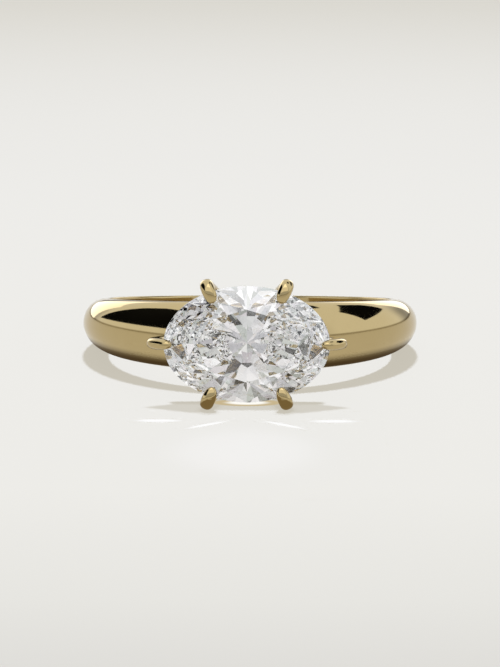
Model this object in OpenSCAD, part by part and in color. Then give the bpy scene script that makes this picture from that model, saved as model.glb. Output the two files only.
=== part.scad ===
// East west ring: a tapered gold band and one oval brilliant in six claws, lying on its side.
// Millimetres. Origin at the centre of the finger hole. Z up from the surface it rests on,
// X along the stone's length, the stone faces -Y and is lifted a little by its own claws.

/* [Band] */
// Diameter of the finger hole
hole_diameter = 16.9; // [15:0.1:20]
// Width of the band beside the stone, measured along the finger
width_head = 3.86; // [3.4:0.02:4.4]
// Width of the band at the back of the finger
width_back = 1.7; // [1.4:0.02:2.6]
// Thickness of the band under the stone
thick_head = 1.1; // [0.9:0.02:1.3]
// Thickness of the band at its two sides
thick_side = 1.5; // [1.2:0.02:1.8]
// Thickness of the band at the back
thick_back = 1.3; // [1.1:0.02:1.6]
// How far the rounding of the inner edges goes up the side of the band
edge_round = 0.1; // [0.06:0.02:0.2]

/* [Stone] */
// Length of the stone, along the band
stone_length = 8.9; // [8.4:0.05:9.6]
// Width of the stone, along the finger
stone_width = 6.25; // [5.9:0.05:6.6]
// Height of the stone's girdle above the wall of the finger hole
girdle_rise = 4.05; // [3.9:0.05:4.4]
// Thickness of the girdle where the main facets reach it
girdle_thick = 0.2; // [0.16:0.01:0.3]
// Slope of the crown's main facets across the width
crown_angle = 34.5; // [32:0.5:36]
// Slope of the pavilion's main facets across the width
pavilion_angle = 42; // [40.5:0.25:42.5]
// Table size as a share of the stone
table_share = 0.62; // [0.56:0.01:0.66]
// How far the star facets reach from the table to the girdle, as a share
star_share = 0.5; // [0.4:0.01:0.6]
// How far the lower half facets reach from the girdle to the tip, as a share
lower_share = 0.77; // [0.7:0.01:0.85]
// Depth cut off the stone's bottom tip
tip_cut = 0.03; // [0.02:0.01:0.06]

/* [Claws and rail] */
// Width of a corner claw
corner_width = 0.74; // [0.66:0.01:0.8]
// How far a corner claw stands out past the girdle
corner_out = 0.7; // [0.6:0.01:0.8]
// How far a corner claw reaches over the crown
corner_over = 0.6; // [0.5:0.01:0.7]
// Where the corner claws sit round the girdle, from the stone's length
corner_place = 63.5; // [60:0.1:68]
// Direction a corner claw leans, from the stone's width
corner_lean = 22.5; // [18:0.1:27]
// Width of an end claw
end_width = 0.62; // [0.56:0.01:0.7]
// How far an end claw stands out past the girdle
end_out = 0.9; // [0.8:0.01:1]
// How far an end claw reaches over the crown
end_over = 0.46; // [0.4:0.01:0.6]
// Depth of an end claw's shoulder below the girdle
end_shoulder = 0.8; // [0.4:0.05:1]
// Gap left between metal and stone
seat_gap = 0.04; // [0.03:0.01:0.06]
// Thickness of the rail under the stone
rail_thick = 0.44; // [0.36:0.02:0.5]
// Depth of the rail's centre below the girdle
rail_drop = 1.35; // [1.2:0.05:1.5]

/* [Hidden] */
$fn = 72;
hole_r = hole_diameter / 2;
stone_a = stone_length / 2;
stone_b = stone_width / 2;
stretch = stone_length / stone_width;
girdle_r = hole_r + girdle_rise;
// Steps round the band and round its profile
band_steps = 96;
profile_steps = 16;
edge_steps = 2;
// How far an inner edge's rounding goes along the wall, as a share of how far it goes up the side
edge_fall = 0.6;
// Steps round the stone's girdle
girdle_steps = 64;
// Mirror signs of the four corners
CORNERS = [[1, 1], [-1, 1], [-1, -1], [1, -1]];
GOLD = [0.83, 0.74, 0.53];
CLEAR = [0.85, 0.9, 0.92, 0.6];

// Sweeps

// Quads joining ring i to ring i + 1 of a tube whose rings have n points
function tube_faces(rings, n, closed) = [
    for (i = [0 : rings - (closed ? 1 : 2)])
    for (j = [0 : n - 1])
    for (half = [0, 1])
    let (a = i * n, b = ((i + 1) % rings) * n, k = (j + 1) % n)
    half == 0 ? [a + j, a + k, b + k] : [a + j, b + k, b + j]
];
function flat(rings) = [for (ring = rings) for (p = ring) p];
// Fans that close the first and last ring of a tube
function cap_faces(rings, n) = [
    for (j = [1 : n - 2])
    for (end = [0, 1])
    let (last = (rings - 1) * n)
    end == 0 ? [0, j + 1, j] : [last, last + j, last + j + 1]
];

// Band

// Half of the band's width at an angle round from the stone: its sides are two leaning planes
function half_width(turn) = (width_head + width_back) / 4 + (width_head - width_back) / 4 * cos(turn);
function thickness(turn) =
    let (front = pow(max(0, cos(turn)), 2), back = pow(max(0, -cos(turn)), 2))
    thick_side + (thick_head - thick_side) * front + (thick_back - thick_side) * back;
// A point of an inner edge's rounding, from the side of the band at 0 to the wall of the hole at 90
function edge_point(h, turn) =
    [hole_r + edge_round * (1 - sin(turn)), h - edge_round * edge_fall * (1 - cos(turn))];
// The profile is half round outside with rounded inner edges, as [radius, height] pairs. It dips
// under the wall of the hole, which is bored afterwards
function band_profile(turn) =
    let (h = half_width(turn), wide = hole_r + edge_round, crown = thickness(turn) - edge_round)
    concat(
        [for (i = [0 : profile_steps])
            let (u = 180 * i / profile_steps)
            [wide + crown * sin(u), -h * cos(u)]],
        [for (i = [1 : edge_steps]) edge_point(h, 90 * i / (edge_steps + 1))],
        [[hole_r - edge_round, h - 2 * edge_round],
         [hole_r - edge_round, 2 * edge_round - h]],
        [for (i = [edge_steps : -1 : 1])
            let (p = edge_point(h, 90 * i / (edge_steps + 1)))
            [p[0], -p[1]]]
    );
band_points = profile_steps + 2 * edge_steps + 3;
module band() {
    rings = [
        for (i = [0 : band_steps - 1])
        let (turn = 360 * i / band_steps)
        [for (p = band_profile(turn)) [p[0] * sin(turn), -p[0] * cos(turn), p[1]]]
    ];
    polyhedron(flat(rings), tube_faces(band_steps, band_points, true));
}

// Stone: x along its length, z out of the girdle plane

// A point of the round cut, stretched to the oval: radius share, angle, height
function cut_point(r, turn, z) = [stone_a * r * cos(turn), stone_b * r * sin(turn), z];
half_girdle = girdle_thick / 2;
crown_slope = stone_b * tan(crown_angle);
pavilion_slope = stone_b * tan(pavilion_angle);
step = 45;
half_step = step / 2;
// Turn of the pavilion's main facets from the crown's, so that they lie under the crown's half facets
pavilion_turn = half_step;
// Share of the radius at which star and main facets meet, and main and lower half facets
star_r = table_share * cos(half_step) * (1 - star_share) + star_share;
lower_r = 1 - lower_share;
table_z = half_girdle + crown_slope * (1 - table_share);
star_z = half_girdle + crown_slope * (1 - star_r * cos(half_step));
lower_z = -half_girdle - pavilion_slope * (1 - lower_r * cos(half_step));
tip_z = -half_girdle - pavilion_slope;

// A facet through three points as [direction, distance], its direction away from the middle
function facet(p, q, r) =
    let (raw = cross(q - p, r - p), d = raw * p, n = (d < 0 ? -1 : 1) * raw / norm(raw))
    [n, n * p];
FACETS = concat(
    [[[0, 0, 1], table_z], [[0, 0, -1], -tip_z - tip_cut]],
    [for (i = [0 : 7])
        let (m = i * step)
        facet(cut_point(star_r, m + half_step, star_z), cut_point(table_share, m, table_z),
              cut_point(table_share, m + step, table_z))],
    [for (i = [0 : 7])
        let (m = i * step)
        facet(cut_point(1, m, half_girdle), cut_point(star_r, m - half_step, star_z),
              cut_point(star_r, m + half_step, star_z))],
    [for (i = [0 : 7]) for (side = [-1, 1])
        let (m = i * step)
        facet(cut_point(star_r, m + side * half_step, star_z), cut_point(1, m, half_girdle),
              cut_point(1, m + side * half_step, half_girdle))],
    [for (i = [0 : 7])
        let (m = i * step + pavilion_turn)
        facet(cut_point(1, m, -half_girdle), cut_point(lower_r, m - half_step, lower_z),
              cut_point(lower_r, m + half_step, lower_z))],
    [for (i = [0 : 7]) for (side = [-1, 1])
        let (m = i * step + pavilion_turn)
        facet(cut_point(lower_r, m + side * half_step, lower_z), cut_point(1, m, -half_girdle),
              cut_point(1, m + side * half_step, -half_girdle))]
);
// Everything on the inner side of one facet, grown outward by a gap
module inside_facet(f, grow) {
    big = 4 * stone_length;
    rotate([0, acos(f[0][2]), atan2(f[0][1], f[0][0])])
    translate([-big / 2, -big / 2, f[1] + grow - big])
    cube(big);
}
module cut_stone(grow) {
    intersection() {
        translate([0, 0, -stone_length])
        linear_extrude(2 * stone_length)
        polygon([for (i = [0 : girdle_steps - 1])
            let (t = 360 * (i + 0.5) / girdle_steps)
            [(stone_a + grow) * cos(t), (stone_b + grow) * sin(t)]]);
        intersection_for (f = FACETS) inside_facet(f, grow);
    }
}

// Claws: each lies in a plane, as [s outward from the girdle's edge, z away from the finger, w sideways]

claw_points = 14;
shaft_steps = 3;
bend_steps = 14;
// Height above the wall of the finger hole at which the claws' roots end, inside the band
root_rise = 0.4;
claw_root = hole_r + root_rise;
// How far in from a claw's middle its shaft's centre line ends
knee_in = 0.03;
// How far a claw's inner side reaches in over the girdle, where the stone's seat is then cut
bite = 0.07;
// Half thickness and half width left at the very tip
tip_half = 0.02;
// Rise of the tip's centre above the crown
tip_rise = 0.08;
// How hard the bend leaves the shaft and meets the tip
bend_pull = 0.5;
tip_pull = 0.42;
tip_lift = 0.14;
// How the inner side's points gather near the shoulder
inner_pace = 2.5;
function mix(a, b, t) = a + (b - a) * t;
function bezier(p, t) = pow(1 - t, 3) * p[0] + 3 * t * pow(1 - t, 2) * p[1]
    + 3 * t * t * (1 - t) * p[2] + pow(t, 3) * p[3];
function claw_half(out) = (out + bite) / 2;
function claw_knee(out) = out - claw_half(out) - knee_in;
// Centre line: a straight shaft from the root, then a bend over the crown, whose slope is given
function claw_line(root, out, over, shoulder, slope) =
    let (
        knee = [claw_knee(out), girdle_r - shoulder, 0],
        rise = [knee[0] - root[0], knee[1] - root[1], 0],
        way = rise / norm(rise),
        tip = [-over, girdle_r + half_girdle + over * tan(slope) + tip_rise, 0],
        bend = [knee, knee + way * bend_pull,
                tip + [tip_pull * cos(slope), tip_lift - tip_pull * sin(slope), 0], tip]
    )
    concat([for (i = [0 : shaft_steps - 1]) mix(root, knee, i / shaft_steps)],
           [for (i = [0 : bend_steps]) bezier(bend, i / bend_steps)]);
// A slightly squared circle, for a fuller section: a squaring of 1 would leave it round
squaring = 0.85;
function rounded(c) = sign(c) * pow(abs(c), squaring);
// Share of the full width and thickness at f, from 0 where the bend starts to 1 at the tip: how much
// is lost on the way, and how suddenly the rest closes at the tip
width_loss = 0.3;
width_close = 6;
thick_loss = 0.5;
thick_close = 4;
function blunt(f) = (1 - width_loss * f * f) * sqrt(1 - pow(f, width_close));
function thin(f) = (1 - thick_loss * f) * sqrt(1 - pow(f, thick_close));
module claw(edge, lean, root, width, out, over, shoulder, slope) {
    line = claw_line(root, out, over, shoulder, slope);
    count = len(line);
    u = [cos(lean), sin(lean)];
    knee = claw_knee(out);
    half = claw_half(out);
    share = [for (i = [0 : count - 1])
        i > shaft_steps ? min(1, max(0, (knee - line[i][0]) / (knee + over))) : 0];
    across = [
        for (i = [0 : count - 1])
        let (way = line[min(i + 1, count - 1)] - line[max(i - 1, 0)])
        (half * thin(share[i]) + tip_half) * [way[1], -way[0]] / norm([way[0], way[1]])
    ];
    spine = [for (p = line) [p[0], p[1]]];
    // The inner side runs straight from the shoulder to the tip, so that no two rings cross
    low = [for (i = [0 : count - 1])
        i <= shaft_steps ? spine[i] - across[i]
            : mix(spine[shaft_steps] - across[shaft_steps], spine[count - 1] - across[count - 1],
                  pow((i - shaft_steps) / bend_steps, inner_pace))];
    rings = [
        for (i = [0 : count - 1])
        let (mid = (spine[i] + across[i] + low[i]) / 2, reach = spine[i] + across[i] - mid)
        [for (j = [0 : claw_points - 1])
            let (
                a = 360 * j / claw_points,
                wide = line[i][2] + mix(tip_half, width / 2, blunt(share[i])) * rounded(cos(a)),
                p = mid + reach * rounded(sin(a))
            )
            [edge[0] + u[0] * p[0] - u[1] * wide, edge[1] + u[1] * p[0] + u[0] * wide, p[1]]]
    ];
    polyhedron(flat(rings), concat(tube_faces(count, claw_points, false), cap_faces(count, claw_points)));
}
// Places of the claws' roots inside the band: inward, and sideways for the corners
corner_root_in = 1.68;
corner_root_side = 0.51;
end_root_in = 1.46;
corner_shoulder = 0;
end_slope = atan(tan(crown_angle) / stretch);
module claws() {
    for (c = CORNERS)
        claw([c[0] * stone_a * cos(corner_place), c[1] * stone_b * sin(corner_place)],
             atan2(c[1] * cos(corner_lean), c[0] * sin(corner_lean)),
             [-corner_root_in, claw_root, corner_root_side * c[0] * c[1]],
             corner_width, corner_out, corner_over, corner_shoulder, crown_angle);
    for (side = [0, 180])
        claw([stone_a * cos(side), 0], side, [-end_root_in, claw_root, 0],
             end_width, end_out, end_over, end_shoulder, end_slope);
}

// Rail under the stone, an oval hoop joining the claws

rail_steps = 64;
rail_points = 10;
// How far in from the girdle the rail's centre runs, at the stone's ends and at its sides
rail_in_end = 0.5;
rail_in_side = 0.42;
rail_a = stone_a - rail_in_end;
rail_b = stone_b - rail_in_side;
module rail() {
    rings = [
        for (i = [0 : rail_steps - 1])
        let (
            t = 360 * i / rail_steps,
            out = [rail_b * cos(t), rail_a * sin(t)] / norm([rail_b * cos(t), rail_a * sin(t)])
        )
        [for (j = [0 : rail_points - 1])
            let (a = 360 * j / rail_points, r = rail_thick / 2 * cos(a))
            [rail_a * cos(t) + out[0] * r, rail_b * sin(t) + out[1] * r,
             girdle_r - rail_drop + rail_thick / 2 * sin(a)]]
    ];
    polyhedron(flat(rings), tube_faces(rail_steps, rail_points, true));
}

// Lying on its side: it rests on two claws and the lower edge of the back

// Turns the head, built with z away from the finger, to face -Y
module head_place() rotate([90, 0, 0]) children();

// How far the bend bulges past the claw's shoulder
bend_bulge = 0.044;
claw_low = stone_b * sin(corner_place) + claw_knee(corner_out) * cos(corner_lean)
    + norm([claw_half(corner_out) * cos(corner_lean), corner_width / 2 * sin(corner_lean)]) + bend_bulge;
// Place on the back's rounding that touches, out from the edge and up from its side
back_roll = 0.23;
back_rise = 0.016;
rest_tilt = atan((claw_low - width_back / 2 + back_rise) / (girdle_r + hole_r + edge_round + back_roll));
module at_rest() rotate([-rest_tilt, 0, 0]) children();

module mounting() {
    color(GOLD)
    at_rest()
    difference() {
        union() {
            band();
            head_place() claws();
            head_place() rail();
        }
        cylinder(h = 4 * width_head, r = hole_r, center = true);
        head_place() translate([0, 0, girdle_r]) cut_stone(seat_gap);
    }
}
module stone() {
    color(CLEAR)
    at_rest()
    head_place()
    translate([0, 0, girdle_r])
    cut_stone(0);
}

mounting();
stone();
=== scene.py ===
import math

import bmesh
import bpy
from mathutils import Matrix, Vector


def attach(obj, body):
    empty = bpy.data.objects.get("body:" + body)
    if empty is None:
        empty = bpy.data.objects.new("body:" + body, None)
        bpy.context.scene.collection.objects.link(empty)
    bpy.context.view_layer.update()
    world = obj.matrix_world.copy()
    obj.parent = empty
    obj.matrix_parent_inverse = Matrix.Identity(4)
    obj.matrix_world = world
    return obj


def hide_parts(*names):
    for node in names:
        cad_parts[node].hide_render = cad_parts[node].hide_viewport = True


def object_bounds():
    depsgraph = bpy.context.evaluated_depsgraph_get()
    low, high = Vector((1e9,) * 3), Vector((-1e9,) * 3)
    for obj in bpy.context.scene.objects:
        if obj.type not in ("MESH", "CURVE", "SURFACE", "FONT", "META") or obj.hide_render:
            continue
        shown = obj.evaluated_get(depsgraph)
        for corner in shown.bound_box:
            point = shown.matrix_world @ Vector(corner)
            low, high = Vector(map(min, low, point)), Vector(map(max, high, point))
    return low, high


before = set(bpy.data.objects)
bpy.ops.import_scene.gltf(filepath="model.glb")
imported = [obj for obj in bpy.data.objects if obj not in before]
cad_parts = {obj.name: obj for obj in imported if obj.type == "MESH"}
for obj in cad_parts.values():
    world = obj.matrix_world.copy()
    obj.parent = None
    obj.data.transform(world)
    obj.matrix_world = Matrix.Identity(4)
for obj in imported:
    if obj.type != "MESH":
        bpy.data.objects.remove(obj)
size_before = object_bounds()

MM = 0.001

# Sizes in millimetres and degrees, the same as in the part's source

HOLE_R = 8.45
WIDTH_HEAD, WIDTH_BACK = 3.86, 1.7
THICK_HEAD, THICK_SIDE, THICK_BACK = 1.1, 1.5, 1.3
EDGE_ROUND, EDGE_FALL = 0.1, 0.6
STONE_A, STONE_B = 4.45, 3.125
GIRDLE_R, GIRDLE_THICK = 12.5, 0.2
CROWN_ANGLE, PAVILION_ANGLE, PAVILION_TURN = 34.5, 42.0, 22.5
TABLE_SHARE, STAR_SHARE, LOWER_SHARE = 0.62, 0.5, 0.77
TIP_CUT = 0.03
CORNER_WIDTH, CORNER_OUT, CORNER_OVER, CORNER_SHOULDER = 0.74, 0.7, 0.6, 0.0
CORNER_PLACE, CORNER_LEAN = 63.5, 22.5
END_WIDTH, END_OUT, END_OVER, END_SHOULDER = 0.62, 0.9, 0.46, 0.8
SEAT_GAP = 0.04
RAIL_THICK, RAIL_DROP, RAIL_IN_END, RAIL_IN_SIDE = 0.44, 1.35, 0.5, 0.42
# Claws' roots inside the band: height above the wall of the hole, way inward, and sideways for the corners
ROOT_RISE, CORNER_ROOT_IN, CORNER_ROOT_SIDE, END_ROOT_IN = 0.4, 1.68, 0.51, 1.46
# How far in from a claw's middle its shaft's centre line ends, and its inner side's reach over the girdle
KNEE_IN, BITE = 0.03, 0.07
# Half thickness left at a claw's tip, the tip's rise above the crown, and how hard the bend pulls at its ends
TIP_HALF, TIP_RISE = 0.02, 0.08
BEND_PULL, TIP_PULL, TIP_LIFT = 0.5, 0.42, 0.14
# How the inner side's points gather near the shoulder, how full a claw's section is, and how it thins
INNER_PACE, SQUARING = 2.5, 0.85
WIDTH_LOSS, WIDTH_CLOSE, THICK_LOSS, THICK_CLOSE = 0.3, 6, 0.5, 4
# Lying on its side: the bend's bulge past the shoulder, and the place on the back's rounding that touches
BEND_BULGE, BACK_ROLL, BACK_RISE = 0.044, 0.23, 0.016

# Steps of the curved surfaces, finer than in the part's source. A claw's rings are close enough together
# that the faces between them keep clear of the stone too
BAND_STEPS, PROFILE_STEPS, EDGE_STEPS, WALL_STEPS = 288, 40, 6, 9
SHAFT_STEPS, BEND_STEPS, CLAW_POINTS = 36, 64, 40
RAIL_STEPS, RAIL_POINTS = 160, 20
GIRDLE_STEPS = 128


def sin(d):
    return math.sin(math.radians(d))


def cos(d):
    return math.cos(math.radians(d))


def tan(d):
    return math.tan(math.radians(d))


def mix(a, b, t):
    return a + (b - a) * t


def claw_half(out):
    """Half a claw's thickness, from how far it stands out past the girdle."""
    return (out + BITE) / 2


def claw_knee(out):
    """How far out from the girdle's edge the middle of a claw's shaft ends."""
    return out - claw_half(out) - KNEE_IN


CLAW_LOW = (STONE_B * sin(CORNER_PLACE) + claw_knee(CORNER_OUT) * cos(CORNER_LEAN) + BEND_BULGE
            + math.hypot(claw_half(CORNER_OUT) * cos(CORNER_LEAN), CORNER_WIDTH / 2 * sin(CORNER_LEAN)))
REST_TILT = math.atan((CLAW_LOW - WIDTH_BACK / 2 + BACK_RISE) / (GIRDLE_R + HOLE_R + EDGE_ROUND + BACK_ROLL))
AT_REST = Matrix.Rotation(-REST_TILT, 4, "X")
# The head is worked out with z away from the finger, and turned to face -Y
HEAD = AT_REST @ Matrix.Rotation(math.pi / 2, 4, "X")


# Meshes

def link_object(name, mesh):
    obj = bpy.data.objects.new(name, mesh)
    bpy.context.collection.objects.link(obj)
    return obj


def add_tube(name, rings, closed):
    """A smooth piece with quads from ring to ring, closed in a loop or with a flat face at each end."""
    n, count = len(rings[0]), len(rings)
    verts = [v * MM for ring in rings for v in ring]
    faces = []
    for i in range(count if closed else count - 1):
        a, b = i * n, (i + 1) % count * n
        faces += [(a + j, a + (j + 1) % n, b + (j + 1) % n, b + j) for j in range(n)]
    if not closed:
        faces += [tuple(range(n - 1, -1, -1)), tuple(range((count - 1) * n, count * n))]
    mesh = bpy.data.meshes.new(name)
    mesh.from_pydata(verts, [], faces)
    mesh.validate()
    for p in mesh.polygons:
        p.use_smooth = True
    return link_object(name, mesh)


# Band

def half_width(turn):
    """Half of the band's width at an angle round from the stone."""
    return (WIDTH_HEAD + WIDTH_BACK) / 4 + (WIDTH_HEAD - WIDTH_BACK) / 4 * cos(turn)


def thickness(turn):
    front, back = max(0, cos(turn)) ** 2, max(0, -cos(turn)) ** 2
    return THICK_SIDE + (THICK_HEAD - THICK_SIDE) * front + (THICK_BACK - THICK_SIDE) * back


def band_profile(turn):
    """Half round outside, then over one rounded edge, across the wall of the hole and over the other edge."""
    h, wide = half_width(turn), HOLE_R + EDGE_ROUND
    crown, fall = thickness(turn) - EDGE_ROUND, EDGE_ROUND * EDGE_FALL
    out = [(wide + crown * sin(180 * i / PROFILE_STEPS), -h * cos(180 * i / PROFILE_STEPS))
           for i in range(PROFILE_STEPS + 1)]
    edge = [(HOLE_R + EDGE_ROUND * (1 - sin(90 * i / EDGE_STEPS)), h - fall + fall * cos(90 * i / EDGE_STEPS))
            for i in range(1, EDGE_STEPS + 1)]
    wall = [(HOLE_R, (h - fall) * (1 - 2 * i / WALL_STEPS)) for i in range(1, WALL_STEPS)]
    return out + edge + wall + [(r, -z) for r, z in reversed(edge)]


def band():
    rings = []
    for i in range(BAND_STEPS):
        turn = 360 * i / BAND_STEPS
        rings.append([AT_REST @ Vector((r * sin(turn), -r * cos(turn), z)) for r, z in band_profile(turn)])
    return add_tube("band", rings, True)


# Claws: each lies in a plane, as outward from the girdle's edge, away from the finger, and sideways

def bezier(p, t):
    return (1 - t) ** 3 * p[0] + 3 * t * (1 - t) ** 2 * p[1] + 3 * t * t * (1 - t) * p[2] + t ** 3 * p[3]


def claw_line(root, out, over, shoulder, slope):
    """Centre line: a straight shaft from the root, then a bend over the crown, whose slope is given."""
    knee = Vector((claw_knee(out), GIRDLE_R - shoulder, 0))
    way = Vector((knee[0] - root[0], knee[1] - root[1], 0)).normalized()
    tip = Vector((-over, GIRDLE_R + GIRDLE_THICK / 2 + over * tan(slope) + TIP_RISE, 0))
    bend = [knee, knee + way * BEND_PULL,
            tip + Vector((TIP_PULL * cos(slope), TIP_LIFT - TIP_PULL * sin(slope), 0)), tip]
    return ([mix(root, knee, i / SHAFT_STEPS) for i in range(SHAFT_STEPS)]
            + [bezier(bend, i / BEND_STEPS) for i in range(BEND_STEPS + 1)])


def rounded(c):
    """Cosine or sine of a slightly squared circle, for a fuller section."""
    return math.copysign(abs(c) ** SQUARING, c)


def blunt(f):
    """Share of the full width, from the bend's start at 0 to the tip at 1."""
    return (1 - WIDTH_LOSS * f * f) * math.sqrt(1 - f ** WIDTH_CLOSE)


def thin(f):
    """Share of the full thickness, from the bend's start at 0 to the tip at 1."""
    return (1 - THICK_LOSS * f) * math.sqrt(1 - f ** THICK_CLOSE)


def claw(name, edge, lean, root, width, out, over, shoulder, slope):
    line = claw_line(root, out, over, shoulder, slope)
    spine = [Vector((p[0], p[1])) for p in line]
    last = len(line) - 1
    knee = spine[SHAFT_STEPS][0]
    share = [min(1, max(0, (knee - p[0]) / (knee + over))) if i > SHAFT_STEPS else 0
             for i, p in enumerate(spine)]
    across = []
    for i, f in enumerate(share):
        way = (spine[min(i + 1, last)] - spine[max(i - 1, 0)]).normalized()
        across.append(Vector((way[1], -way[0])) * (claw_half(out) * thin(f) + TIP_HALF))
    # the inner side runs straight from the shoulder to the tip, so that no two rings cross
    low = [p - a for p, a in zip(spine, across)]
    for i in range(SHAFT_STEPS + 1, last + 1):
        low[i] = mix(low[SHAFT_STEPS], low[last], ((i - SHAFT_STEPS) / BEND_STEPS) ** INNER_PACE)
    rings = []
    for i, f in enumerate(share):
        mid = (spine[i] + across[i] + low[i]) / 2
        reach = spine[i] + across[i] - mid
        ring = []
        for j in range(CLAW_POINTS):
            a = 360 * j / CLAW_POINTS
            wide = line[i][2] + mix(TIP_HALF, width / 2, blunt(f)) * rounded(cos(a))
            p = mid + reach * rounded(sin(a))
            ring.append(HEAD @ Vector((edge[0] + cos(lean) * p[0] - sin(lean) * wide,
                                       edge[1] + sin(lean) * p[0] + cos(lean) * wide, p[1])))
        rings.append(ring)
    return add_tube(name, rings, False)


def corner_claw(name, side_x, side_y):
    edge = (side_x * STONE_A * cos(CORNER_PLACE), side_y * STONE_B * sin(CORNER_PLACE))
    lean = math.degrees(math.atan2(side_y * cos(CORNER_LEAN), side_x * sin(CORNER_LEAN)))
    root = Vector((-CORNER_ROOT_IN, HOLE_R + ROOT_RISE, CORNER_ROOT_SIDE * side_x * side_y))
    return claw(name, edge, lean, root, CORNER_WIDTH, CORNER_OUT, CORNER_OVER, CORNER_SHOULDER, CROWN_ANGLE)


def end_claw(name, side_x):
    lean = 0 if side_x > 0 else 180
    root = Vector((-END_ROOT_IN, HOLE_R + ROOT_RISE, 0))
    slope = math.degrees(math.atan(tan(CROWN_ANGLE) * STONE_B / STONE_A))
    return claw(name, (side_x * STONE_A, 0), lean, root, END_WIDTH, END_OUT, END_OVER, END_SHOULDER, slope)


def seat(obj, facets):
    """Moves what reaches into the stone straight out from its middle, so the claw clears it by a small gap."""
    back = HEAD.inverted()
    middle = Vector((0, 0, GIRDLE_R))
    for v in obj.data.vertices:
        p = back @ (v.co / MM) - middle
        rim = math.hypot(p[0] / (STONE_A + SEAT_GAP), p[1] / (STONE_B + SEAT_GAP))
        # share of the way from the middle to the surface at which the point lies
        way_out = max([rim] + [n.dot(p) / (d + SEAT_GAP) for n, d in facets])
        if way_out < 1:
            v.co = HEAD @ (p / way_out + middle) * MM


# Rail under the stone, an oval hoop joining the claws

def rail():
    a, b = STONE_A - RAIL_IN_END, STONE_B - RAIL_IN_SIDE
    rings = []
    for i in range(RAIL_STEPS):
        t = 360 * i / RAIL_STEPS
        out = Vector((b * cos(t), a * sin(t))).normalized()
        ring = []
        for j in range(RAIL_POINTS):
            q = 360 * j / RAIL_POINTS
            r = RAIL_THICK / 2 * cos(q)
            ring.append(HEAD @ Vector((a * cos(t) + out[0] * r, b * sin(t) + out[1] * r,
                                       GIRDLE_R - RAIL_DROP + RAIL_THICK / 2 * sin(q))))
        rings.append(ring)
    return add_tube("rail", rings, True)


# Stone: a round cut stretched to the oval, each facet a plane through three of its corners

def cut_point(r, turn, z):
    return Vector((STONE_A * r * cos(turn), STONE_B * r * sin(turn), z))


def facet(p, q, r):
    """Direction of the plane through three points, away from the middle, and its distance from there."""
    n = (q - p).cross(r - p).normalized()
    if n.dot(p) < 0:
        n = -n
    return n, n.dot(p)


def stone_facets():
    half, step = GIRDLE_THICK / 2, 22.5
    crown, pavilion = STONE_B * tan(CROWN_ANGLE), STONE_B * tan(PAVILION_ANGLE)
    star_r = TABLE_SHARE * cos(step) * (1 - STAR_SHARE) + STAR_SHARE
    lower_r = 1 - LOWER_SHARE
    table_z = half + crown * (1 - TABLE_SHARE)
    star_z = half + crown * (1 - star_r * cos(step))
    lower_z = -half - pavilion * (1 - lower_r * cos(step))
    facets = [(Vector((0, 0, 1)), table_z), (Vector((0, 0, -1)), half + pavilion - TIP_CUT)]
    for i in range(8):
        m = 2 * step * i
        facets.append(facet(cut_point(star_r, m + step, star_z), cut_point(TABLE_SHARE, m, table_z),
                            cut_point(TABLE_SHARE, m + 2 * step, table_z)))
        # the main facet and its two halves, on the crown and then on the pavilion
        for t, z, r, rz in ((m, half, star_r, star_z), (m + PAVILION_TURN, -half, lower_r, lower_z)):
            facets.append(facet(cut_point(1, t, z), cut_point(r, t - step, rz), cut_point(r, t + step, rz)))
            for side in (-step, step):
                facets.append(facet(cut_point(r, t + side, rz), cut_point(1, t, z),
                                    cut_point(1, t + side, z)))
    return facets


def cut_stone(name, facets):
    """Cuts an oval prism, taller than the stone, by each facet in turn."""
    prism_half, near = 5, 1e-5
    bm = bmesh.new()
    rim = [cut_point(1, 360 * (i + 0.5) / GIRDLE_STEPS, 0) for i in range(GIRDLE_STEPS)]
    top = [bm.verts.new(v + Vector((0, 0, prism_half))) for v in rim]
    low = [bm.verts.new(v - Vector((0, 0, prism_half))) for v in rim]
    bm.faces.new(top)
    bm.faces.new(list(reversed(low)))
    for i in range(GIRDLE_STEPS):
        j = (i + 1) % GIRDLE_STEPS
        bm.faces.new((low[i], low[j], top[j], top[i]))
    for n, d in facets:
        geom = bm.verts[:] + bm.edges[:] + bm.faces[:]
        bmesh.ops.bisect_plane(bm, geom=geom, dist=near, plane_co=n * d, plane_no=n, clear_outer=True)
        open_edges = [e for e in bm.edges if len(e.link_faces) == 1]
        if open_edges:
            bmesh.ops.contextual_create(bm, geom=open_edges)
    bmesh.ops.dissolve_degenerate(bm, dist=near, edges=bm.edges[:])
    bmesh.ops.recalc_face_normals(bm, faces=bm.faces[:])
    bm.transform(Matrix.Scale(MM, 4) @ HEAD @ Matrix.Translation((0, 0, GIRDLE_R)))
    mesh = bpy.data.meshes.new(name)
    bm.to_mesh(mesh)
    bm.free()
    return link_object(name, mesh)


# Colours and nodes

def srgb(code):
    def part(c):
        c /= 255
        return c / 12.92 if c <= 0.04045 else ((c + 0.055) / 1.055) ** 2.4
    return tuple(part(int(code[i:i + 2], 16)) for i in (1, 3, 5)) + (1.0,)


def add_node(tree, kind, links=None, values=None, **settings):
    """Adds a node with its settings, and its links and values by socket name, or number where names repeat."""
    node = tree.nodes.new(kind)
    for key, value in settings.items():
        setattr(node, key, value)
    for key, value in (values or {}).items():
        node.inputs[key].default_value = value
    for key, source in (links or {}).items():
        tree.links.new(source, node.inputs[key])
    return node


def set_stops(ramp, stops):
    """Gives a new ramp, which has two stops, its own places and colours."""
    elements = ramp.color_ramp.elements
    for i, (at, code) in enumerate(stops):
        stop = elements[i] if i < 2 else elements.new(at)
        stop.position = at
        stop.color = srgb(code)


def new_material(name):
    mat = bpy.data.materials.new(name)
    mat.use_nodes = True
    mat.node_tree.nodes.clear()
    return mat, mat.node_tree


# Materials of the ring

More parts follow.
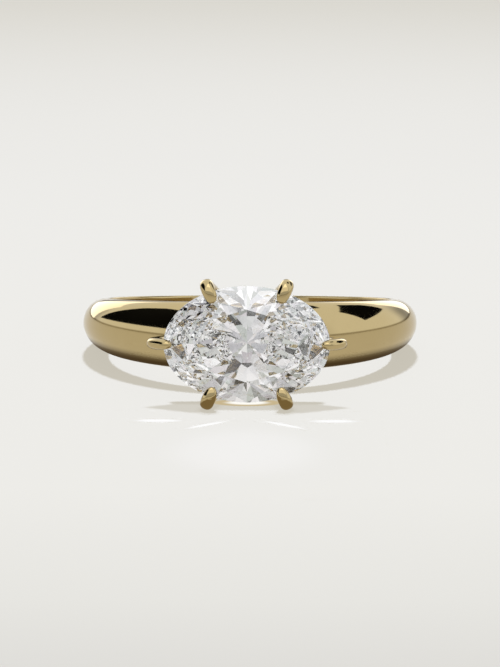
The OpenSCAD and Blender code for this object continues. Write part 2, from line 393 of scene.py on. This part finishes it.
# Cast and polished 14k yellow gold: a pale champagne mirror with a trace of softness from the buffing wheel
def make_gold():
    mat, tree = new_material("polished_14k_yellow_gold")
    # the buffing wheel's softer and sharper spots are a little over a millimetre across
    spot = 10 / 9 * MM
    place = add_node(tree, "ShaderNodeTexCoord")
    cloud = add_node(tree, "ShaderNodeTexNoise", {"Vector": place.outputs["Object"]},
                     {"Scale": 1 / spot, "Detail": 3.0})
    tint = add_node(tree, "ShaderNodeMix", {"Factor": cloud.outputs["Fac"]},
                    {6: srgb("#BEAA7D"), 7: srgb("#B9A578")}, data_type="RGBA")
    rough = add_node(tree, "ShaderNodeMapRange", {"Value": cloud.outputs["Fac"]},
                     {"To Min": 0.05, "To Max": 0.09})
    shade = add_node(tree, "ShaderNodeBsdfPrincipled",
                     {"Base Color": tint.outputs[2], "Roughness": rough.outputs["Result"]}, {"Metallic": 1.0})
    add_node(tree, "ShaderNodeOutputMaterial", {"Surface": shade.outputs["BSDF"]})
    return mat


# Polished diamond: colourless, with strong bending of light, so the facets sparkle in white, grey and black
def make_diamond():
    mat, tree = new_material("polished_diamond")
    shade = add_node(tree, "ShaderNodeBsdfPrincipled", None,
                     {"Base Color": srgb("#FFFFFF"), "Roughness": 0.0, "IOR": 2.417, "Transmission Weight": 1.0})
    add_node(tree, "ShaderNodeOutputMaterial", {"Surface": shade.outputs["BSDF"]})
    return mat


# Build

FACETS = stone_facets()
round_parts = [band(), rail()]
claws = [corner_claw("claw_corner_%d" % (k + 1), side_x, side_y)
         for k, (side_x, side_y) in enumerate(((1, 1), (-1, 1), (-1, -1), (1, -1)))]
end_claws = [end_claw("claw_end_1", 1), end_claw("claw_end_2", -1)]
for part in claws + end_claws:
    seat(part, FACETS)
gold = make_gold()
for part in round_parts + claws + end_claws:
    part.data.materials.append(gold)
    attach(part, "root")
    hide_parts("mounting")

stone = cut_stone("oval_diamond", FACETS)
stone.data.materials.append(make_diamond())
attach(stone, "root")
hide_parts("stone")


# What each kind of ray meets

def hide_from(obj, rays):
    """Lets the named kinds of ray pass by an object."""
    for ray in rays.split():
        setattr(obj, "visible_" + ray, False)


# light passes through the stone to the floor, where a film below gives it a paler shade
hide_from(stone, "shadow diffuse")
# what lies behind the stone's facets is the sparkle dome and the claws, not the band and rail
for part in round_parts:
    hide_from(part, "transmission")
# the film also casts the end claws' shade, without that of their hidden shafts
for part in end_claws:
    hide_from(part, "shadow")


# Stage

FLOOR_GAP = 0.01
FLOOR_Z = size_before[0][2] - FLOOR_GAP * MM
FLOOR_SIZE = 6
# Where the floor's painted tones begin in front of the ring and end behind it, in metres
TONES_FRONT, TONES_BACK = -0.05, 0.4


def stage_sheet(name, points, faces, mat, unseen_by=""):
    mesh = bpy.data.meshes.new(name)
    mesh.from_pydata(points, [], faces or [tuple(range(len(points)))])
    mesh.materials.append(mat)
    obj = link_object(name, mesh)
    hide_from(obj, unseen_by)
    return obj


def floor_sheet(name, x, y, lift, half_wide, half_deep, mat, unseen_by=""):
    """A sheet that lies on the floor, whose own coordinates run from -1 to 1."""
    obj = stage_sheet(name, [(-1, -1, 0), (1, -1, 0), (1, 1, 0), (-1, 1, 0)], None, mat, unseen_by)
    obj.location = (x, y, FLOOR_Z + lift)
    obj.scale = (half_wide, half_deep, 1)
    return obj


# White acrylic floor whose own glow is painted light: pale all over, a little darker in front
def make_floor():
    mat, tree = new_material("white_floor_painted_light")
    place = add_node(tree, "ShaderNodeTexCoord")
    parts = add_node(tree, "ShaderNodeSeparateXYZ", {"Vector": place.outputs["Object"]})
    depth = add_node(tree, "ShaderNodeMapRange", {"Value": parts.outputs["Y"]},
                     {"From Min": TONES_FRONT / (FLOOR_SIZE / 2), "From Max": TONES_BACK / (FLOOR_SIZE / 2)})
    ramp = add_node(tree, "ShaderNodeValToRGB", {"Fac": depth.outputs["Result"]})
    set_stops(ramp, [(0.0, "#B3AD9F"), (0.02, "#BFBAAC"), (0.05, "#C6C1B4"), (0.3, "#C4BFB3"),
                     (0.95, "#C9C5BA")])
    shade = add_node(tree, "ShaderNodeBsdfPrincipled", {"Emission Color": ramp.outputs["Color"]},
                     {"Base Color": srgb("#383735"), "Roughness": 0.55, "Specular IOR Level": 0.0,
                      "Emission Strength": 1.0})
    add_node(tree, "ShaderNodeOutputMaterial", {"Surface": shade.outputs["BSDF"]})
    return mat


def make_glow(name, code, strength):
    """An even glow, for the light panels and for the painted light of the sleeve."""
    mat, tree = new_material(name)
    glow = add_node(tree, "ShaderNodeEmission", None, {"Color": srgb(code), "Strength": strength})
    add_node(tree, "ShaderNodeOutputMaterial", {"Surface": glow.outputs["Emission"]})
    return mat


def make_soft_disc(name, inner, outer, change, low):
    """A disc that takes its outer colour at one share of its radius, and fades out from another."""
    mat, tree = new_material(name)
    place = add_node(tree, "ShaderNodeTexCoord")
    away = add_node(tree, "ShaderNodeVectorMath", {"Vector": place.outputs["Object"]}, operation="LENGTH")
    fades = [add_node(tree, "ShaderNodeMapRange", {"Value": away.outputs["Value"]},
                      {"From Min": first, "From Max": last}, interpolation_type="SMOOTHSTEP")
             for first, last in ((0.5 * change, change), (low, 1.0))]
    tone = add_node(tree, "ShaderNodeMix", {"Factor": fades[0].outputs["Result"]},
                    {6: srgb(inner), 7: srgb(outer)}, data_type="RGBA")
    glow = add_node(tree, "ShaderNodeEmission", {"Color": tone.outputs[2]})
    clear = add_node(tree, "ShaderNodeBsdfTransparent")
    blend = add_node(tree, "ShaderNodeMixShader", {0: fades[1].outputs["Result"], 1: glow.outputs["Emission"],
                                                   2: clear.outputs["BSDF"]})
    add_node(tree, "ShaderNodeOutputMaterial", {"Surface": blend.outputs["Shader"]})
    return mat


floor = floor_sheet("floor", 0, 0, 0, FLOOR_SIZE / 2, FLOOR_SIZE / 2, make_floor(), "transmission")

# Painted shade seen only in the metal: dark brown discs under the ring and under the lower claws, where the
# floor lies in shade; and painted light in the hole, a pale glowing disc
dark_painted_shade = make_soft_disc("dark_brown_painted_shade", "#5E5140", "#5E5140", 0.783, 0.783)
painted_shade = make_soft_disc("brown_painted_shade", "#9F9176", "#9F9176", 0.783, 0.783)
pale = make_soft_disc("pale_painted_light", "#E4E2DC", "#E4E2DC", 0.783, 0.913)
# Painted light that the ring throws on the floor: a bright line with a golden rim, a pale pool and four glints
thrown = make_soft_disc("light_thrown_by_the_stone", "#FFFDF6", "#C8B68F", 0.696, 0.783)
pool = make_soft_disc("pool_of_light", "#F2F1EF", "#EDECE9", 0.696, 0.087)
glint = make_soft_disc("glint", "#FFFFFF", "#F4F3F0", 0.87, 0.348)
IN_METAL = "camera diffuse transmission shadow"
ON_FLOOR = "diffuse transmission shadow"
# Name, material, place, lift, half the size each way, turn, and what doesn't see it
for name, mat, x, y, lift, half_wide, half_deep, turn, unseen_by in (
        ("painted_shade_disc", dark_painted_shade, 0, 0, 0.02, 11.5, 11.5, 0, IN_METAL),
        ("painted_light_in_hole", pale, 0, 0, 0.025, 8.28, 8.28, 0, IN_METAL),
        ("painted_shade_oval_front", painted_shade, 0, -14.5, 0.03, 4.83, 3.795, 0, IN_METAL),
        ("thrown_light", thrown, 0, -11.65, 0.04, 2.07, 0.805, 0, ON_FLOOR),
        ("pool_of_light", pool, 0, -20.8, 0.005, 7.13, 7.59, 0, ON_FLOOR + " glossy"),
        ("glint_outer_1", glint, -4.6, -15.35, 0.05, 1.725, 0.4025, 0, ON_FLOOR),
        ("glint_outer_2", glint, 4.6, -15.35, 0.05, 1.725, 0.4025, 0, ON_FLOOR),
        ("glint_inner_1", glint, -2.0, -16.1, 0.05, 1.84, 0.276, 35, ON_FLOOR),
        ("glint_inner_2", glint, 2.0, -16.1, 0.05, 1.84, 0.276, -35, ON_FLOOR)):
    disc = floor_sheet(name, x * MM, y * MM, lift * MM, half_wide * MM, half_deep * MM, mat, unseen_by)
    disc.rotation_euler.z = math.radians(turn)


# Painted light seen only in the metal: a pale glowing sleeve in the front of the hole, for a pale inner wall at
# the back
def add_sleeve(radius=8.25, half=1.6, spread=75, step=5):
    turns = range(-spread, spread + 1, step)
    points = [AT_REST @ Vector((radius * sin(t), -radius * cos(t), z)) * MM
              for t in turns for z in (-half, half)]
    faces = [(2 * i, 2 * i + 2, 2 * i + 3, 2 * i + 1) for i in range(len(turns) - 1)]
    stage_sheet("painted_light_sleeve", points, faces, make_glow("pale_painted_light_sleeve", "#E4E2DC", 1.0), IN_METAL)


# Smoky film with the rough outline of the stone and end claws seen from above: it dims the light that
# falls there, and only shadows show it
def add_shade():
    mat, tree = new_material("smoky_film")
    film = add_node(tree, "ShaderNodeBsdfTransparent", None, {"Color": srgb("#8C8C8C")})
    add_node(tree, "ShaderNodeOutputMaterial", {"Surface": film.outputs["BSDF"]})
    right = [(1.7, 12.6), (2.8, 13.2), (5.5, 12.1), (2.5, 10.8)]
    outline = right + [(-x, y) for x, y in reversed(right)]
    points = [AT_REST @ Vector((x, -y, 0)) * MM for x, y in outline]
    stage_sheet("stone_shade", points, None, mat, "camera diffuse glossy transmission")


add_sleeve()
add_shade()

# Sparkle: what is seen through the stone

DOME_R = 0.3
# A patch's size as a share of the dome's radius, where the pattern starts, and how coloured and bright it is
PATCH_SIZE, PATCH_SHIFT, PATCH_TINT, PATCH_LEVEL = 0.35, (4.3, 2.15, -4.3), 0.06, 1.2


# Paper patches of grey, black and white all round, which the stone's facets break into its sparkle, each
# a trace warmer or cooler than the next for the fire
def make_patches():
    mat, tree = new_material("grey_paper_patches")
    place = add_node(tree, "ShaderNodeTexCoord")
    moved = add_node(tree, "ShaderNodeVectorMath", {0: place.outputs["Object"]}, {1: PATCH_SHIFT},
                     operation="ADD")
    cells = add_node(tree, "ShaderNodeTexVoronoi", {"Vector": moved.outputs["Vector"]},
                     {"Scale": 1 / (PATCH_SIZE * DOME_R)})
    parts = add_node(tree, "ShaderNodeSeparateColor", {"Color": cells.outputs["Color"]})
    grey = add_node(tree, "ShaderNodeValToRGB", {"Fac": parts.outputs[0]})
    set_stops(grey, [(0.0, "#181818"), (0.17, "#585858"), (0.27, "#AEAEAF"), (0.8, "#CFCFCF"),
                     (1.0, "#FFFFFF")])
    tint = add_node(tree, "ShaderNodeMix", {6: grey.outputs["Color"], 7: cells.outputs["Color"]},
                    {"Factor": PATCH_TINT}, data_type="RGBA", blend_type="OVERLAY")
    glow = add_node(tree, "ShaderNodeEmission", {"Color": tint.outputs[2]}, {"Strength": PATCH_LEVEL})
    add_node(tree, "ShaderNodeOutputMaterial", {"Surface": glow.outputs["Emission"]})
    return mat


def add_dome():
    mesh = bpy.data.meshes.new("sparkle_dome")
    bm = bmesh.new()
    bmesh.ops.create_icosphere(bm, subdivisions=3, radius=DOME_R)
    bm.to_mesh(mesh)
    bm.free()
    mesh.materials.append(make_patches())
    dome = link_object("sparkle_dome", mesh)
    hide_from(dome, "camera diffuse glossy shadow")


add_dome()

# Light

PANEL_AWAY = 0.4


def toward(azimuth, elevation, distance):
    """A place seen from the ring: azimuth 0 is in front of the stone, 90 to its +X side."""
    return Vector((sin(azimuth) * cos(elevation), -cos(azimuth) * cos(elevation), sin(elevation))) * distance


# Plain studio round the ring: bright and faintly cool, with a thin dark line where it meets the floor
def make_world():
    world = bpy.data.worlds.new("studio")
    bpy.context.scene.world = world
    world.use_nodes = True
    tree = world.node_tree
    tree.nodes.clear()
    place = add_node(tree, "ShaderNodeTexCoord")
    parts = add_node(tree, "ShaderNodeSeparateXYZ", {"Vector": place.outputs["Generated"]})
    ramp = add_node(tree, "ShaderNodeValToRGB", {"Fac": parts.outputs["Z"]})
    set_stops(ramp, [(0.02, "#A9A498"), (0.05, "#F6F9FC")])
    # dimmer in front of the ring than beside it, and low down behind it
    front, behind, high = [
        add_node(tree, "ShaderNodeMapRange", {"Value": parts.outputs[axis]},
                 {"From Min": low, "From Max": top, "To Min": first, "To Max": last},
                 interpolation_type="SMOOTHSTEP").outputs["Result"]
        for axis, low, top, first, last in (("Y", -0.85, -0.45, 0.7, 1.2), ("Y", 0.55, 0.8, 0.0, 1.0),
                                            ("Z", 0.2, 0.5, 0.4, 1.0))]
    shade = add_node(tree, "ShaderNodeMix", {"Factor": behind, "B": high}, {"A": 1.0}, data_type="FLOAT")
    level = add_node(tree, "ShaderNodeMath", {0: front, 1: shade.outputs["Result"]}, operation="MULTIPLY")
    glow = add_node(tree, "ShaderNodeBackground", {"Color": ramp.outputs["Color"], "Strength": level.outputs[0]})
    add_node(tree, "ShaderNodeOutputWorld", {"Surface": glow.outputs["Background"]})


# Black velvet on card: swallows the light, for the black shapes mirrored in the band
def make_velvet():
    mat, tree = new_material("black_velvet_card")
    shade = add_node(tree, "ShaderNodeBsdfDiffuse", None, {"Color": srgb("#060606")})
    add_node(tree, "ShaderNodeOutputMaterial", {"Surface": shade.outputs["BSDF"]})
    return mat


make_world()
black = make_velvet()
# Opal plastic panels lit from behind: an even white, for the pale stripes mirrored in the band
white =make_glow("light_panel_glow", "#FFFFFF", 2.2)
soft = make_glow("front_panel_glow", "#FFFFFF", 1.3)
# Cards and panels, by the directions of their corners from the ring
for name, mat, corners, unseen_by in (
        ("black_card_left", black, [(-126, 7), (-116, 42), (-100, 52), (-60, 52), (-40, 40), (-40, 10)], ""),
        ("black_card_right", black, [(90, 20), (88, 44), (110, 50), (142, 48), (146, 36), (134, 26)], ""),
        ("black_card_top", black, [(70, 64), (100, 59), (140, 60), (140, 72), (70, 72)], ""),
        ("light_panel_top", white, [(-25, 38), (25, 38), (25, 72), (-25, 72)], ""),
        ("light_panel_front", soft, [(-35, 15), (35, 15), (35, 38), (-35, 38)], IN_METAL),
        ("light_panel_left", white, [(-135, 1), (-166, 1), (-166, 28), (-135, 28)], "diffuse"),
        ("light_panel_right", white, [(150, 1), (172, 1), (172, 26), (150, 26)], "diffuse")):
    stage_sheet(name, [toward(a, e, PANEL_AWAY) for a, e in corners], None, mat, unseen_by)

lamp = bpy.data.lights.new("key_light", "AREA")
lamp.shape = "DISK"
lamp.size = 0.04
lamp.energy = 14.8
lamp.color = srgb("#DBE7FF")[:3]
key_light = link_object("key_light", lamp)
key_light.matrix_world = AT_REST @ Matrix.Translation((0, 0, PANEL_AWAY))
hide_from(key_light, "glossy transmission")

# Camera

VIEW_TURN, VIEW_RISE, VIEW_AWAY = 0.8, 12.7, 0.115
LENS, SENSOR = 103.6, 36
# The photo's height, and how far the ring's middle sits above the photo's middle, in pixels
PHOTO_HIGH, RING_ABOVE = 667, 12

cam = bpy.data.cameras.new("camera")
cam.lens = LENS
cam.sensor_width = SENSOR
cam.clip_start = 0.005
cam.clip_end = 5
camera = link_object("camera", cam)
camera.location = toward(VIEW_TURN, VIEW_RISE, VIEW_AWAY)
camera.rotation_mode = "QUATERNION"
look = (-toward(VIEW_TURN, VIEW_RISE, 1)).to_track_quat("-Z", "Y")
down = math.atan(RING_ABOVE / PHOTO_HIGH * SENSOR / LENS)
camera.rotation_quaternion = look @ Matrix.Rotation(-down, 3, "X").to_quaternion()

scene = bpy.context.scene
scene.camera = camera
scene.view_settings.view_transform = "Standard"
# light turns many times inside the stone before it leaves
scene.cycles.max_bounces = 32
scene.cycles.glossy_bounces = 24
scene.cycles.transmission_bounces = 32
